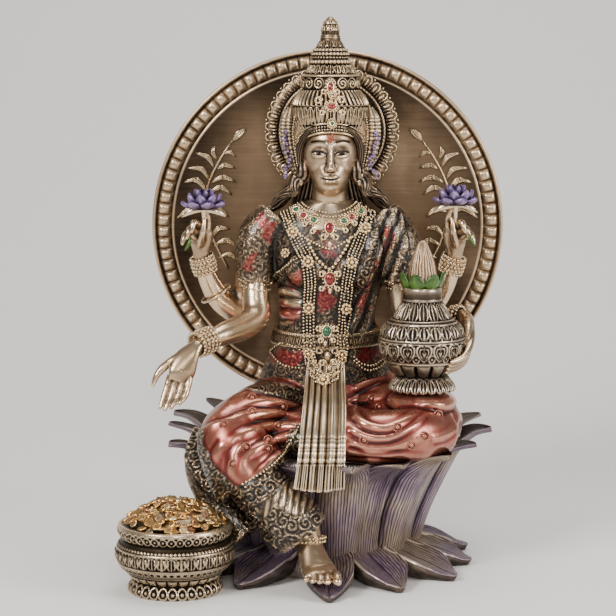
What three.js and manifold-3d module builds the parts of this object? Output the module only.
// A seated four-armed goddess of fortune on a lotus throne, with a round back plate, a water pot and a bowl of coins.
// Millimetres, +Z up, +X to the viewer's right, the viewer on the -Y side. The origin is the middle of the underside.
import * as THREE from "three";
import { mergeVertices } from "three/addons/utils/BufferGeometryUtils.js";
import Module from "manifold-3d";

const wasm = await Module();
wasm.setup();

// Driving sizes
const degrees = Math.PI / 180;
const glueGap = 0.3; // glue line between two castings
const seatHeight = 57; // floor to the flat top of the lotus cup
const seatRadius = 59;
const cupFootRadius = 42; // where the cup stands among its floor petals
const cupFootHeight = 13;
const floorPetalReach = 76;
const frontPetalReach = 86; // the floor petal under the foot is longer
const floorPetalEdge = 3.4; // height of a floor petal's blunt tip
const floorPetalRim = 3; // how far a floor petal's edges stand proud
const floorPetalsPerSide = 6; // right and left of the long front one
const floorPetalSpacing = 25.8 * degrees;
const cupPetalCount = 9; // in each of the two rows
const cupPetalReach = 73;
const cupPetalThickness = 3.2;
const cupPetalRise = 7; // tips above the seat
const cupPetalLean = 8; // the front tips are this much lower than that, and the back ones higher
const cupPetalSpread = 5; // the tips at the sides reach this much farther than the front ones
const cupPetalBearing = 8 * degrees;
const figureHeight = 203; // seat to the tip of the crown
const haloRadius = 31.5;
const haloThickness = 3;
const haloLobes = 36;
const plateRadius = 85.5;
const plateThickness = 5;
const plateFront = 27; // the plate's front face, behind the middle of the seat
const plateCentreHeight = 159;
const plateFootWidth = 34; // the tab that stands on the seat, hidden behind the figure
const rimBandWidth = 8.5;
const rimBandHeight = 2.2;
const rimLobes = 90; // pillow-shaped lobes round the rim; the solid's edge has a corner for every second one
const stemRelief = 1.2; // how far the two flowering stems stand out of the plate
const potFootHeight = 27.9; // above the seat, sunk a little into the cloth on the thigh
const potHeight = 49;
const potRadius = 20;
const potX = 43.4;
const potY = -31;
const potLeaves = 6;
const potLeafThickness = 1.4;
const bowlRadius = 27.5;
const bowlHeight = 31; // to the rim that the coins heap over
const bowlX = -70;
const bowlY = -61;
const coinRadius = 2.7;
const coinThickness = 1;
const sliver = 0.15; // corners closer than this to a flat face are merged away

// Finishes
const bronze = new THREE.MeshStandardMaterial({ color: 0x8a6a45, roughness: 0.35, metalness: 0.85 });
const darkBronze = new THREE.MeshStandardMaterial({ color: 0x6d5438, roughness: 0.42, metalness: 0.8 });
const lilacWash = new THREE.MeshStandardMaterial({ color: 0x6f6072, roughness: 0.45, metalness: 0.6 });
const oldGold = new THREE.MeshStandardMaterial({ color: 0xb08d4c, roughness: 0.35, metalness: 0.85 });

// A three.js geometry becomes a closed solid, and a solid becomes a mesh again

function bareGeometry(geometry) {
  const bare = geometry.clone();
  bare.deleteAttribute("normal");
  bare.deleteAttribute("uv");
  return mergeVertices(bare, 1e-4);
}

function solidOf(merged) {
  const corners = merged.attributes.position.array;
  const faces = [];
  let sixVolumes = 0;
  const [a, b, c] = [new THREE.Vector3(), new THREE.Vector3(), new THREE.Vector3()];
  for (let i = 0; i < merged.index.count; i += 3) {
    const [p, q, r] = [0, 1, 2].map((k) => merged.index.array[i + k]);
    if (p === q || q === r || p === r) continue;
    faces.push(p, q, r);
    a.fromArray(corners, 3 * p);
    b.fromArray(corners, 3 * q);
    c.fromArray(corners, 3 * r);
    sixVolumes += a.dot(b.cross(c));
  }
  if (sixVolumes < 0) {
    for (let i = 0; i < faces.length; i += 3) [faces[i], faces[i + 1]] = [faces[i + 1], faces[i]];
  }
  const data = { numProp: 3, vertProperties: new Float32Array(corners), triVerts: new Uint32Array(faces) };
  return new wasm.Manifold(new wasm.Mesh(data));
}

const join = (solids) => wasm.Manifold.union(solids);

// Slivers smaller than the tolerance, left where shapes meet, are merged away.
function meshOf(name, solid, material) {
  const data = solid.simplify(sliver).getMesh();
  const geometry = new THREE.BufferGeometry();
  geometry.setAttribute("position", new THREE.BufferAttribute(data.vertProperties, 3));
  geometry.setIndex(new THREE.BufferAttribute(data.triVerts, 1));
  geometry.computeVertexNormals();
  const mesh = new THREE.Mesh(geometry, material);
  mesh.name = name;
  return mesh;
}

// Shapes made by bending a box, tube, ball or lathe

// Moves every corner of a geometry to where place() puts it.
function reshape(geometry, place) {
  const merged = bareGeometry(geometry);
  const position = merged.attributes.position;
  const corner = new THREE.Vector3();
  for (let i = 0; i < position.count; i++) {
    corner.fromBufferAttribute(position, i);
    place(corner);
    position.setXYZ(i, corner.x, corner.y, corner.z);
  }
  return solidOf(bareGeometry(merged));
}

const vector = (p) => new THREE.Vector3(...p);

// A block between two opposite corners.
function block(low, high) {
  return reshape(new THREE.BoxGeometry(1, 1, 1), (corner) => {
    corner.set(...["x", "y", "z"].map((axis, i) => (corner[axis] < 0 ? low[i] : high[i])));
  });
}

// A closed tube along a smooth line. sizes holds [half width, half depth] for each point; side is roughly the
// direction of the width, and fold(t, angle) swells or pinches the surface.
function limb(points, sizes, { sides = 8, rings = 6, side = [1, 0, 0], grow = 0, fold = () => 0 } = {}) {
  const line = new THREE.CatmullRomCurve3(points.map(vector));
  const girth = new THREE.CatmullRomCurve3(sizes.map(([w, d = w]) => vector([w, d, 0])));
  const [centre, along, width, depth, size] = Array.from({ length: 5 }, () => new THREE.Vector3());
  return reshape(new THREE.CylinderGeometry(1, 1, 1, sides, rings), (corner) => {
    const t = corner.y + 0.5;
    line.getPoint(t, centre);
    line.getTangent(t, along);
    girth.getPoint(t, size);
    width.set(...side).addScaledVector(along, -along.dot(width)).normalize();
    depth.crossVectors(along, width);
    const swell = grow + fold(t, Math.atan2(corner.z, corner.x));
    const [u, v] = [corner.x, corner.z];
    corner.copy(centre).addScaledVector(width, u * (size.x + swell)).addScaledVector(depth, v * (size.y + swell));
  });
}

// An egg shape: centre and half sizes.
function egg(at, half, { sides = 8, rings = 5, grow = 0 } = {}) {
  return reshape(new THREE.SphereGeometry(1, sides, rings), (corner) => {
    const [x, y, z] = [corner.x, corner.z, corner.y].map((v, i) => at[i] + v * (half[i] + grow));
    corner.set(x, y, z);
  });
}

// A pointed leaf with a ridge, from its root to its tip; half is its half width and how far the ridge rises.
function leaflet(root, tip, [halfWidth, halfHeight], up) {
  const middle = vector(root).lerp(vector(tip), 0.5);
  const along = vector(tip).sub(middle);
  const rise = vector(up).normalize();
  const across = new THREE.Vector3().crossVectors(along, rise).normalize();
  return reshape(new THREE.SphereGeometry(1, 4, 2), (corner) => {
    const [x, y, z] = [corner.x, corner.y, corner.z];
    corner.copy(middle).addScaledVector(along, y);
    corner.addScaledVector(across, x * halfWidth).addScaledVector(rise, z * halfHeight);
  });
}

// A turned shape standing at a place: the profile is [radius, height] pairs from foot to top. Its first column faces
// the bearing start, and carve(column, radius, height, bearing) may give a corner another [radius, height].
function turned(profile, at, { sides = 12, grow = 0, start = 0, carve = (column, r, z) => [r, z] } = {}) {
  const last = profile.length - 1;
  const line = profile.map(([r, z], i) => {
    const lift = i === 0 ? -grow : i === last ? grow : 0;
    return new THREE.Vector2(r + grow, z + lift);
  });
  const closed = [new THREE.Vector2(0, line[0].y), ...line, new THREE.Vector2(0, line[last].y)];
  return reshape(new THREE.LatheGeometry(closed, sides), (corner) => {
    const turn = Math.atan2(corner.x, corner.z);
    const column = Math.round((turn / (2 * Math.PI)) * sides + sides) % sides;
    const bearing = turn + start;
    const [r, z] = carve(column, Math.hypot(corner.x, corner.z), corner.y, bearing);
    corner.set(at[0] + r * Math.sin(bearing), at[1] - r * Math.cos(bearing), at[2] + z);
  });
}

// A petal around an upright axis. line(t) gives [radius, height] of its middle line from root to tip, width(t) its
// half width, lift how far its edges stand proud, and floor, if given, the height of a flat underside.
function petal({ bearing, line, width, lift = 0, thickness, floor, across = 2, along = 2, at = [0, 0, 0] }) {
  return reshape(new THREE.BoxGeometry(1, 1, 1, across, along, 1), (corner) => {
    const t = corner.y + 0.5;
    const s = 2 * corner.x;
    const [r, z] = line(t);
    const [r2, z2] = line(t + 0.01);
    const slope = Math.atan2(z2 - z, r2 - r);
    const under = corner.z < 0;
    const out = lift * s * s * Math.sin(Math.PI * Math.min(1, t + 0.15)) - (under ? thickness : 0);
    const flat = under && floor !== undefined;
    const radius = r - (flat ? 0 : Math.sin(slope) * out);
    const height = flat ? floor : z + Math.cos(slope) * out;
    const turn = bearing + (s * width(t)) / radius;
    corner.set(at[0] + radius * Math.sin(turn), at[1] - radius * Math.cos(turn), at[2] + height);
  });
}

// A smooth line through evenly spaced points or numbers, which goes straight on past its end.
function through(values) {
  const curve = new THREE.CatmullRomCurve3(values.map((v) => vector([v[0] ?? v, v[1] ?? 0, v[2] ?? 0])));
  return (t) => {
    const point = curve.getPoint(Math.min(1, t));
    return point.addScaledVector(curve.getTangent(1), Math.max(0, t - 1)).toArray();
  };
}

// A flat disc or ring that stands upright and faces the viewer. An edge is { radius, corners, bite }, where bite is
// how far every second corner is moved towards the middle.
function uprightRing({ outer, inner, front, back, at }) {
  const trace = (path, { radius, corners, bite = 0 }, way) => {
    for (let i = 0; i < corners; i++) {
      const turn = (way * i * 2 * Math.PI) / corners;
      const r = i % 2 ? radius - bite : radius;
      if (i === 0) path.moveTo(r * Math.cos(turn), r * Math.sin(turn));
      else path.lineTo(r * Math.cos(turn), r * Math.sin(turn));
    }
    path.closePath();
    return path;
  };
  const shape = trace(new THREE.Shape(), outer, 1);
  if (inner) shape.holes.push(trace(new THREE.Path(), inner, -1));
  const slab = new THREE.ExtrudeGeometry(shape, { depth: back - front, bevelEnabled: false });
  return reshape(slab, (corner) => corner.set(at[0] + corner.x, back - corner.z, at[1] + corner.y));
}

// Lotus throne: floor petals, a cup of outer petals and the tips of an inner row, cast in one

const cupProfile = [
  [cupFootRadius + 2, 0],
  [cupFootRadius, cupFootHeight],
  [seatRadius - 9, cupFootHeight + 15],
  [seatRadius, seatHeight - 14],
  [cupPetalReach, seatHeight + cupPetalRise],
  [cupPetalReach - cupPetalThickness, seatHeight + cupPetalRise + 1.5],
  [seatRadius - 4, seatHeight],
];

function floorPetals() {
  const steps = Array.from({ length: floorPetalsPerSide }, (_, i) => (i + 1) * floorPetalSpacing);
  const leftStart = 8 * degrees; // the bowl's side leaves a wider space beside the front petal
  const bearings = [0, ...steps, ...steps.map((turn) => -turn - leftStart)];
  return bearings.map((bearing) => {
    const root = cupFootRadius - 4;
    const reach = bearing === 0 ? frontPetalReach : floorPetalReach;
    const broadest = root + (reach - root) * 0.58;
    const line = through([[root, cupFootHeight - 4.5], [broadest, cupFootHeight - 6], [reach, floorPetalEdge]]);
    const width = through([8, 11, 1.6]);
    return petal({ bearing, line, width: (t) => width(t)[0], lift: floorPetalRim, thickness: 4, floor: 0 });
  });
}

// Tips at the back stand higher and reach farther than those at the front.
const tipRise = (bearing) => -cupPetalLean * Math.cos(bearing);
const tipReach = (bearing) => cupPetalSpread * (1 - Math.cos(bearing));

// The cup's wall is a row of broad petals, four columns each: tips flare out, and the grooves between stay lower.
function cup() {
  const groove = [0, 0.5, 1, 0.5];
  const grooveTop = seatHeight - 4;
  const carve = (column, r, z, bearing) => {
    const depth = groove[column % groove.length];
    if (z <= cupFootHeight || r < seatRadius - 3.9) return [r, z];
    if (z < grooveTop) return [r - 3.5 * depth, z];
    const tip = 1 - depth;
    const radius = r - (cupPetalReach - seatRadius + 1) * depth + tip * tipReach(bearing);
    return [radius, grooveTop + (z - grooveTop + tipRise(bearing)) * tip + depth];
  };
  return turned(cupProfile, [0, 0, 0], { sides: cupPetalCount * groove.length, start: cupPetalBearing, carve });
}

// The inner row shows only its upper part, rising behind the grooves of the outer one.
function innerPetals() {
  return Array.from({ length: cupPetalCount }, (_, i) => {
    const bearing = cupPetalBearing + (i + 0.5) * (360 * degrees / cupPetalCount);
    const reach = cupPetalReach - 2 + tipReach(bearing);
    const tipHeight = seatHeight + cupPetalRise + 2 + tipRise(bearing);
    const line = through([[seatRadius - 6, seatHeight - 7], [seatRadius + 2, seatHeight + 1], [reach, tipHeight]]);
    const width = through([8, 11, 1.5]);
    return petal({ bearing, line, width: (t) => width(t)[0], lift: -1.5, thickness: cupPetalThickness });
  });
}

// The figure's pose is drawn at a height of 203 and follows figureHeight: points are [x, y, height above the seat].

const scale = figureHeight / 203;
const scaled = (values) => values.map((v) => v * scale);
const posed = ([x, y, z]) => [x * scale, y * scale, seatHeight + z * scale];
const bodyLimb = (points, sizes, options) => limb(points.map(posed), sizes.map(scaled), options);
const bodyEgg = (at, half, options) => egg(posed(at), scaled(half), options);
const bodyLeaf = (root, tip, half, up) => leaflet(posed(root), posed(tip), scaled(half), up);
const mirrored = ([x, y, z], side) => [x * side, y, z];
const bothSides = (make) => [-1, 1].map(make);

// The foot that hangs down rests on the front floor petal, and the leg above it spans the drop from the knee.
const knee = posed([-47, -49, 12]);
const sole = floorPetalEdge + 4.5 * scale;
const ankle = [-9 * scale, -61 * scale, sole + 15.5 * scale];
const heel = [-8 * scale, -55 * scale, sole + 5.5 * scale];
const instep = [-6.5 * scale, -64 * scale, sole + 6 * scale];
const toes = [-3.5 * scale, -78 * scale, sole + 2 * scale];
const shinPoint = (x, y, share) => [x * scale, y * scale, ankle[2] + (knee[2] - ankle[2]) * share];

// Folds that run along a leg: their number, depth and turn.
const folds = (count, depth, turn = 0) => (t, angle) =>
  depth * scale * Math.sin(count * angle + turn + 2 * t) * Math.sin(Math.PI * t);

// Hips, thighs and the folded leg, which sit on the seat; grown by a gap, they cut the petals around them.
function seatedParts(grow = 0) {
  const hips = bodyLimb([[0, 4, -4], [0, 2, 20], [-0.5, 0, 44]], [[38, 26], [38, 24], [25, 15]], { rings: 3, grow });
  const rightThigh = bodyLimb(
    [[-14, 2, 16], [-26, -18, 17], [-38, -37, 16], [-47, -49, 12], [-51, -54, 6]],
    [[17, 15], [17, 15.5], [16, 14.5], [13, 12.5], [7, 6]],
    { rings: 5, grow, fold: folds(3, 0.9) },
  );
  const leftThigh = bodyLimb(
    [[13, 0, 15], [30, -15, 16], [46, -27, 15], [54, -31, 14], [61, -33, 13]],
    [[16, 15], [16, 15], [15, 14.5], [13, 13], [5, 6]],
    { rings: 5, grow, fold: folds(3, 0.8, 1) },
  );
  const leftShin = bodyLimb(
    [[54, -36, 12], [38, -48, 12.5], [20, -54, 12], [2, -55, 11], [-8, -54, 10]],
    [[10, 10], [12, 12.5], [11.5, 12], [10, 10], [7, 8]],
    { rings: 5, grow, fold: folds(3, 1.1, 2) },
  );
  const lap = bodyEgg([2, -30, 10], [38, 26, 13], { rings: 3, grow });
  const wide = 2 * seatRadius;
  const seat = block([-wide, -wide, 0], [wide, wide, seatHeight + (grow ? 0 : glueGap)]);
  return join([hips, rightThigh, leftThigh, leftShin, lap]).subtract(seat);
}

// The leg that hangs down, its foot, and the cloth behind it.
function hangingParts(grow = 0) {
  const shin = limb(
    [knee, shinPoint(-38, -57, 0.68), shinPoint(-25, -61, 0.38), shinPoint(-18, -61, 0.2), shinPoint(-12, -61, 0.04)],
    [[13, 13], [12.5, 12.5], [12.5, 12.5], [14, 13.5], [13, 11.5]].map(scaled),
    { rings: 5, grow, fold: folds(4, 0.8) },
  );
  const overskirt = bodyLimb([[-48, -46, 18], [-43, -50, 6], [-34, -54, -8]], [[13, 13], [17, 16], [19, 15]],
    { rings: 2, grow, fold: folds(4, 0.7) });
  const ankleTube = limb([shinPoint(-11, -60, 0.15), ankle, heel], [[7], [6.2], [6]].map(scaled),
    { sides: 6, rings: 2, grow });
  const foot = limb([heel, instep, toes], [[6, 6], [6.8, 5], [8, 2.6]].map(scaled), { sides: 6, rings: 2, grow });
  const toeTips = [-2, -1, 0, 1, 2].map((i) => {
    const reach = (1.2 - Math.abs(i - 0.6) * 0.5) * scale;
    const at = [toes[0] + i * 3.1 * scale, toes[1] - reach, toes[2] - scale];
    return egg(at, scaled([1.8, 3, 2.4]), { sides: 4, rings: 2, grow });
  });
  const backCloth = bodyLimb([[-54, -34, 12], [-58, -36, -4], [-50, -40, -24], [-34, -48, -40]],
    [[9, 5], [9, 5], [9, 5], [8, 4]], { sides: 6, rings: 3, grow });
  return join([shin, overskirt, ankleTube, foot, ...toeTips, backCloth]);
}

// The pleated end of the sash hangs from the belt over the lap: a zigzag section along a bent line.
function sash(grow = 0) {
  const pleats = 4;
  const halfWidth = 11 * scale + grow;
  const ridge = 1.8 * scale;
  const route = [[-1, -21, 40], [-1.5, -32, 32], [-2, -52, 24], [-3, -66, 12], [-3.5, -68, 0], [-4, -67.5, -10]];
  const line = through(route.map(posed));
  const section = new THREE.BoxGeometry(2, 1, 1, 2 * pleats, 3, 1);
  return reshape(section, (corner) => {
    const t = corner.y + 0.5;
    const [x, y, z] = line(t);
    const ahead = line(Math.min(1, t + 0.02));
    const behind = line(Math.max(0, t - 0.02));
    const slope = Math.atan2(ahead[2] - behind[2], ahead[1] - behind[1]);
    const proud = Math.round((corner.x + 1) * pleats) % 2 ? ridge : 0;
    const out = corner.z > 0 ? proud + 2.2 * scale + grow : -2 * scale - grow;
    const flare = 0.84 + 0.16 * t;
    corner.set(x + corner.x * halfWidth * flare, y + Math.sin(slope) * out, z - Math.cos(slope) * out);
  });
}

function torso() {
  const trunk = bodyLimb(
    [[-0.5, 1, 30], [-0.5, 0, 46], [-0.5, -1, 60], [0, -1, 74], [0.5, 0, 90], [0.5, 1, 105], [0.5, 1, 117]],
    [[33, 20], [27, 18], [22.5, 15], [23.5, 14.5], [27.5, 15], [28, 12.5], [11, 9]],
  );
  const bust = bothSides((side) => bodyEgg([0.5 + side * 10.5, -11, 85], [10, 8, 9.5], { sides: 6, rings: 4 }));
  const neck = bodyLimb([[0.5, 2, 112], [1, 0, 120], [1, -1, 128]], [[10], [8.3], [8.6]], { rings: 1 });
  const hair = bodyLimb(
    [[0, 14, 2], [0, 15, 50], [0.5, 13, 100], [1, 8, 126]],
    [[26, 15], [21, 13], [20, 13], [11, 8]],
    { rings: 3 },
  );
  return [trunk, ...bust, neck, hair];
}

function head() {
  const toViewer = [0, -1, 0];
  const skull = bodyEgg([1, -1, 141], [14, 15.5, 18], { rings: 6 });
  const jaw = bodyEgg([1, -6, 131], [10.5, 10.5, 11.5]);
  const nose = bodyLeaf([1, -14.5, 144], [1, -16.8, 131.6], [2.1, 2.4], toViewer);
  const lips = bodyLeaf([-3.2, -14, 128.6], [5.2, -14, 128.6], [1.7, 2.4], toViewer);
  const locks = bothSides((side) => bodyLimb(
    [[1 + side * 13, 2, 130], [1 + side * 19, -1, 119], [1 + side * 28, 1, 113]],
    [[5, 5], [6.5, 6], [4, 3.5]], { sides: 5, rings: 2, side: [0, 1, 0] },
  ));
  const earPieces = bothSides((side) =>
    bodyLeaf([1 + side * 13, -2, 124], [1 + side * 20.5, -2, 161], [4, 4], toViewer));
  return [skull, jaw, nose, lips, ...locks, ...earPieces];
}

// Crown tiers, from the diadem to the bud: [radius, height above the seat].
function crown() {
  const tiers = [[17, 146], [17.9, 158], [13, 168.5], [13.4, 175], [7, 179.8], [8.4, 183.2], [8.4, 188], [4.4, 191],
    [5, 198], [0.4, 203]];
  const body = turned(tiers.map(scaled), posed([1, 0, 0]), { sides: 10 });
  const jewels = [[1, -17.5, 159], [1, -13.5, 170]].map((at) => bodyEgg(at, [2.6, 2, 3.4], { sides: 4, rings: 2 }));
  return [body, ...jewels];
}

function headHalo() {
  const [x, front, z] = posed([2, 12, 148.4]);
  const outer = { radius: haloRadius, corners: 2 * haloLobes, bite: 1.6 };
  const plate = uprightRing({ outer, front, back: front + haloThickness, at: [x, z] });
  const mount = limb([posed([1, 8, 148]), [x, front + haloThickness, z], [x, plateFront + 3, z]],
    [[12], [12], [9]].map(scaled), { rings: 1 });
  return [plate, mount];
}

// A hand from its wrist: a flattened palm, four fingers and a thumb, each given by its bending points.
function hand({ wrist, palm, across, palmSize, fingers, thumb }) {
  const [wide, thick] = palmSize;
  const body = bodyLimb([wrist, ...palm], [[3.8, 3.4], [wide, thick], [wide, thick * 0.7]],
    { sides: 6, rings: 2, side: across });
  const digit = (points, size) => bodyLimb(points, points.map((_, i) => [size * (1 - 0.16 * i)]),
    { sides: 4, rings: 2, side: across });
  return [body, ...fingers.map((finger) => digit(finger, 1.4)), digit(thumb, 1.8)];
}

function bangles(from, to, radius) {
  const middle = from.map((v, i) => (v + to[i]) / 2);
  return bodyLimb([from, middle, to], [[radius], [radius + 1], [radius]], { sides: 6, rings: 2 });
}

// An open lotus in the hand: its rim rises to a point at every petal.
function lotusBloom(at) {
  const profile = [[1, -3.5], [6, -2], [10.8, 4.2], [3.6, 4]].map(scaled);
  const carve = (column, r, z) => (column % 2 ? [r * 0.7, z * 0.8] : [r, z]);
  return turned(profile, posed(at), { sides: 12, carve });
}

// Upper arms share the sleeve; each arm runs on from its elbow to its wrist.
function arms() {
  const sleeves = bothSides((side) => bodyLimb([[side * 24, 2, 109], [side * 33, 1, 98], [side * 34.5, -2, 77]],
    [[9, 10], [10, 10.5], [8.2, 8.6]], { rings: 2, side: [0, 1, 0] }));
  const front = { sides: 6, rings: 5, side: [0, 0.3, 1] };
  const frontRight = bodyLimb(
    [[-34, -1, 82], [-34.5, -4, 72], [-34, -8, 62], [-40, -16, 58], [-49, -27, 56], [-59, -38, 53]],
    [[6.8], [6.7], [6.9], [6.3], [5.6], [4.2]], front,
  );
  const frontLeft = bodyLimb(
    [[34, -1, 82], [35, -2, 72], [37, -2, 64], [46, -4, 61], [55, -7, 61], [64, -12, 62]],
    [[6.8], [6.7], [6.7], [5.6], [5], [4.2]], front,
  );
  const raised = bothSides((side) => bodyLimb(
    [[28, 9, 104], [36, 11, 86], [42, 8.5, 63], [50, 6, 67], [56, 3, 76], [60, -1, 88]].map((p) => mirrored(p, side)),
    [[7.5], [7], [6.5], [6], [5.4], [4]], { sides: 6, rings: 5, side: [0, 1, 0] },
  ));
  const raisedBangles = bothSides((side) => bangles([side * 58, 0.5, 82], [side * 60.5, -1, 91], 6));
  return [...sleeves, frontRight, frontLeft, ...raised, ...raisedBangles,
    bangles([-54, -33, 54.8], [-62, -41, 52.4], 6.2), bangles([59, -9, 61.5], [64, -12, 62], 5.6)];
}

// Fingers lie evenly between the first and the last one given: knuckle, bend, tip.
function spread(count, first, last) {
  return Array.from({ length: count }, (_, i) => {
    const t = i / (count - 1);
    return first.map((point, k) => point.map((v, axis) => v + (last[k][axis] - v) * t));
  });
}

function hands() {
  const giving = hand({
    wrist: [-60, -40, 53],
    palm: [[-65, -44, 47.5], [-68, -46, 38]],
    across: [1, 0, 0.2],
    palmSize: [6, 3],
    fingers: spread(4, [[-73, -46, 40], [-75.5, -48, 31], [-77.5, -50, 25]],
      [[-63, -46, 38], [-65.5, -49, 30], [-68.5, -52, 26]]),
    thumb: [[-67, -44, 48], [-75, -45, 43], [-80.5, -47, 36]],
  });
  const raised = bothSides((side) => hand({
    wrist: mirrored([60, -1, 89], side),
    palm: [mirrored([60, -2, 95], side), mirrored([59, -4, 102], side)],
    across: [1, 0.2, 0],
    palmSize: [5.4, 3],
    fingers: [
      [[57, -4, 100], [57, -5, 107], [58, -6, 114]],
      ...spread(3, [[60, -5, 104], [63, -9, 107], [64, -11, 103]], [[62, -4, 98], [67, -8, 101], [69, -10, 97]]),
    ].map((finger) => finger.map((point) => mirrored(point, side))),
    thumb: [[62, -4, 96], [61, -8, 102], [59.5, -8, 107]].map((point) => mirrored(point, side)),
  }));
  const holding = hand({
    wrist: [63, -12, 62],
    palm: [[66.5, -17, 61], [69, -25, 56]],
    across: [0, 0.2, 1],
    palmSize: [6, 2.8],
    fingers: spread(4, [[68.5, -22, 59], [69.5, -34, 52.5], [63, -44, 47]],
      [[68, -22, 50], [67.5, -33, 43], [61, -42, 37.5]]),
    thumb: [[66, -18, 64], [67, -27, 63], [65.5, -34, 58]],
  });
  return [...giving, ...raised.flat(), ...holding, lotusBloom([-58, -7, 115]), lotusBloom([60, -7, 117])];
}

// Long bead ropes that meet in a clasp on the belt, and the collar.
function jewels() {
  const ropes = bothSides((side) => bodyLimb(
    [[0.5 + side * 20, -8, 114], [0.5 + side * 10.5, -21, 87], [-0.5 + side * 9.5, -18.5, 66],
      [-1 + side * 9, -20.5, 44], [-2, -36, 33]],
    Array.from({ length: 5 }, () => [2.8, 2]), { sides: 4, rings: 5 },
  ));
  const clasp = bodyEgg([-2, -36.5, 33.4], [4, 3, 4], { sides: 4, rings: 3 });
  const collar = bodyLimb([[-17, -3, 119], [0.5, -15.5, 108], [18, -3, 119]], [[4, 2], [4.4, 2.4], [4, 2]],
    { sides: 4, rings: 4, side: [0, 0, 1] });
  return [...ropes, clasp, collar];
}

// Back plate: a flat round plate with a rim band, two flowering stems in relief and a tab that stands on the seat

// The stems are drawn from the plate's centre at a radius of 85.5 and follow plateRadius.
function floweringStem(side) {
  const drawn = plateRadius / 85.5;
  const face = plateFront - stemRelief / 3;
  const at = (x, z) => [side * x * drawn, face, plateCentreHeight + z * drawn];
  const toViewer = [0, -1, 0];
  const [root, tip] = [[52, -28], [40, 46]];
  const bow = (t) => [root[0] + (tip[0] - root[0]) * t + 7 * Math.sin(Math.PI * t), root[1] + (tip[1] - root[1]) * t];
  const steps = [0, 0.33, 0.67, 1].map((t) => at(...bow(t)));
  const stem = limb(steps, steps.map(() => [1.1, stemRelief]), { sides: 4, rings: 3 });
  const leaves = Array.from({ length: 6 }, (_, i) => {
    const t = 0.22 + 0.13 * i;
    const [x, z] = bow(t);
    const reach = (i % 2 ? 1 : -1) * (14 - 5 * t);
    return leaflet(at(x, z), at(x + reach, z + 5), [2.6, 1.8 * stemRelief], toViewer);
  });
  const bud = leaflet(at(...tip), at(tip[0] - 4, tip[1] + 12), [3.6, 2 * stemRelief], toViewer);
  return [stem, ...leaves, bud];
}

const plateBack = plateFront + plateThickness;
const plateMiddle = [0, plateCentreHeight];
const bandFront = plateFront - rimBandHeight;
const bandInner = plateRadius - rimBandWidth;
const plateEdge = { radius: plateRadius, corners: Math.ceil(rimLobes / 2) };

function backPlate() {
  const disc = uprightRing({ outer: plateEdge, front: plateFront, back: plateBack, at: plateMiddle });
  const band = uprightRing({
    outer: plateEdge,
    inner: { radius: bandInner, corners: plateEdge.corners },
    front: bandFront, back: plateBack, at: plateMiddle,
  });
  const tabTop = plateCentreHeight - bandInner;
  const tab = block([-plateFootWidth / 2, plateFront, seatHeight + glueGap], [plateFootWidth / 2, plateBack, tabTop]);
  return join([disc, band, tab, ...floweringStem(-1), ...floweringStem(1)]);
}

// The space that the plate and its rim band take from the figure's back, with the glue line.
function plateSpace() {
  const wide = 2 * plateRadius;
  const top = seatHeight + figureHeight;
  const behind = block([-wide, plateFront - glueGap, 0], [wide, plateFront + wide, top]);
  const rim = uprightRing({
    outer: { radius: plateRadius + glueGap, corners: plateEdge.corners },
    inner: { radius: bandInner - glueGap, corners: plateEdge.corners },
    front: bandFront - glueGap, back: plateFront + 1, at: plateMiddle,
  });
  return join([behind, rim]);
}

// Water pot with mango leaves and a coconut, one casting; its profile is drawn 20 wide and 49 high

const potAt = posed([potX, potY, potFootHeight]);

function pot(grow = 0) {
  const drawn = [[15.5, 0], [11.5, 7], [18.2, 15.6], [20, 21.5], [18.6, 28], [8.6, 38], [8, 41.5], [10.2, 42.2],
    [10.2, 47], [7.2, 48.4]];
  return turned(drawn.map(([r, z]) => [(r / 20) * potRadius, (z / 49) * potHeight]), potAt, { grow });
}

function potWithLeaves() {
  const rim = [potAt[0], potAt[1], potAt[2] + potHeight - 3];
  const share = potRadius / 20;
  const line = through([[5.5, 1], [8.6, 2], [10, 5], [10.4, 9.5]].map(([r, z]) => [r * share, z * share]));
  const width = (t) => (3.6 * Math.sin(Math.PI * Math.min(0.93, t + 0.2)) + 0.3) * share;
  const leaves = Array.from({ length: potLeaves }, (_, i) => petal({
    bearing: (i / potLeaves) * 2 * Math.PI, at: rim, thickness: potLeafThickness, across: 1, line, width,
  }));
  const tip = [[6.4, 0], [8.2, 5], [7.2, 11], [1.8, 24], [0.5, 26.5]].map(([r, z]) => [r * share, z * share]);
  return join([pot(), turned(tip, rim, { sides: 8 }), ...leaves]);
}

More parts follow.
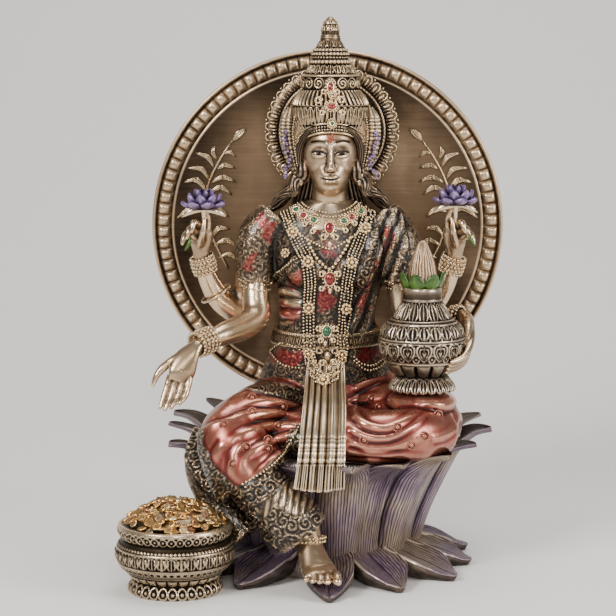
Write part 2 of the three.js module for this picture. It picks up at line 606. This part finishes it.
// Bowl heaped with coins, one casting; its profile is drawn 27.5 wide and 31 high to the rim

const bowlAt = [bowlX, bowlY, 0];

function bowl(grow = 0) {
  const drawn = [[20.5, 0], [21.5, 2.5], [18.5, 6], [27, 16], [26.2, 23.5], [23.4, 25], [25.8, 28], [25.8, 30],
    [12, 39.8], [4, 42]];
  return turned(drawn.map(([r, z]) => [(r / 27.5) * bowlRadius, (z / 31) * bowlHeight]), bowlAt, { sides: 14, grow });
}

// Coins lie tilted on the heap in two rings.
function coins() {
  const rings = [[17.5, 35.4, 7, 36 * degrees], [8.5, 40.4, 3, 22 * degrees]];
  return rings.flatMap(([radius, height, count, lean], ring) => Array.from({ length: count }, (_, i) => {
    const turn = ((i + ring * 0.4) / count) * 2 * Math.PI;
    const out = vector([Math.sin(turn) * Math.sin(lean), -Math.cos(turn) * Math.sin(lean), Math.cos(lean)]);
    const reach = (radius / 27.5) * bowlRadius;
    const lift = (height / 31) * bowlHeight;
    const middle = vector([bowlX + reach * Math.sin(turn), bowlY - reach * Math.cos(turn), lift]);
    const top = middle.clone().addScaledVector(out, coinThickness).toArray();
    const under = middle.clone().addScaledVector(out, -2 * coinThickness).toArray();
    return limb([under, top], [[coinRadius], [coinRadius]], { sides: 5, rings: 1, side: [0.2, 1, 0.1] });
  }));
}

// Put together: the throne gives way to what sits on it, and the figure to the plate, the pot and the bowl

const throne = join([cup(), ...floorPetals(), ...innerPetals()])
  .subtract(join([seatedParts(glueGap), hangingParts(glueGap), sash(glueGap), bowl(glueGap)]));

const bodyParts = [torso(), head(), crown(), headHalo(), arms(), hands(), jewels()].flat();
const figure = join([seatedParts(), hangingParts(), sash(), ...bodyParts])
  .subtract(join([plateSpace(), pot(glueGap), bowl(glueGap)]));

const statue = new THREE.Group();
statue.add(
  meshOf("lotus_throne", throne, lilacWash),
  meshOf("goddess", figure, bronze),
  meshOf("back_plate", backPlate(), darkBronze),
  meshOf("water_pot", potWithLeaves(), darkBronze),
  meshOf("coin_bowl", join([bowl(), ...coins()]), oldGold),
);

export default statue;
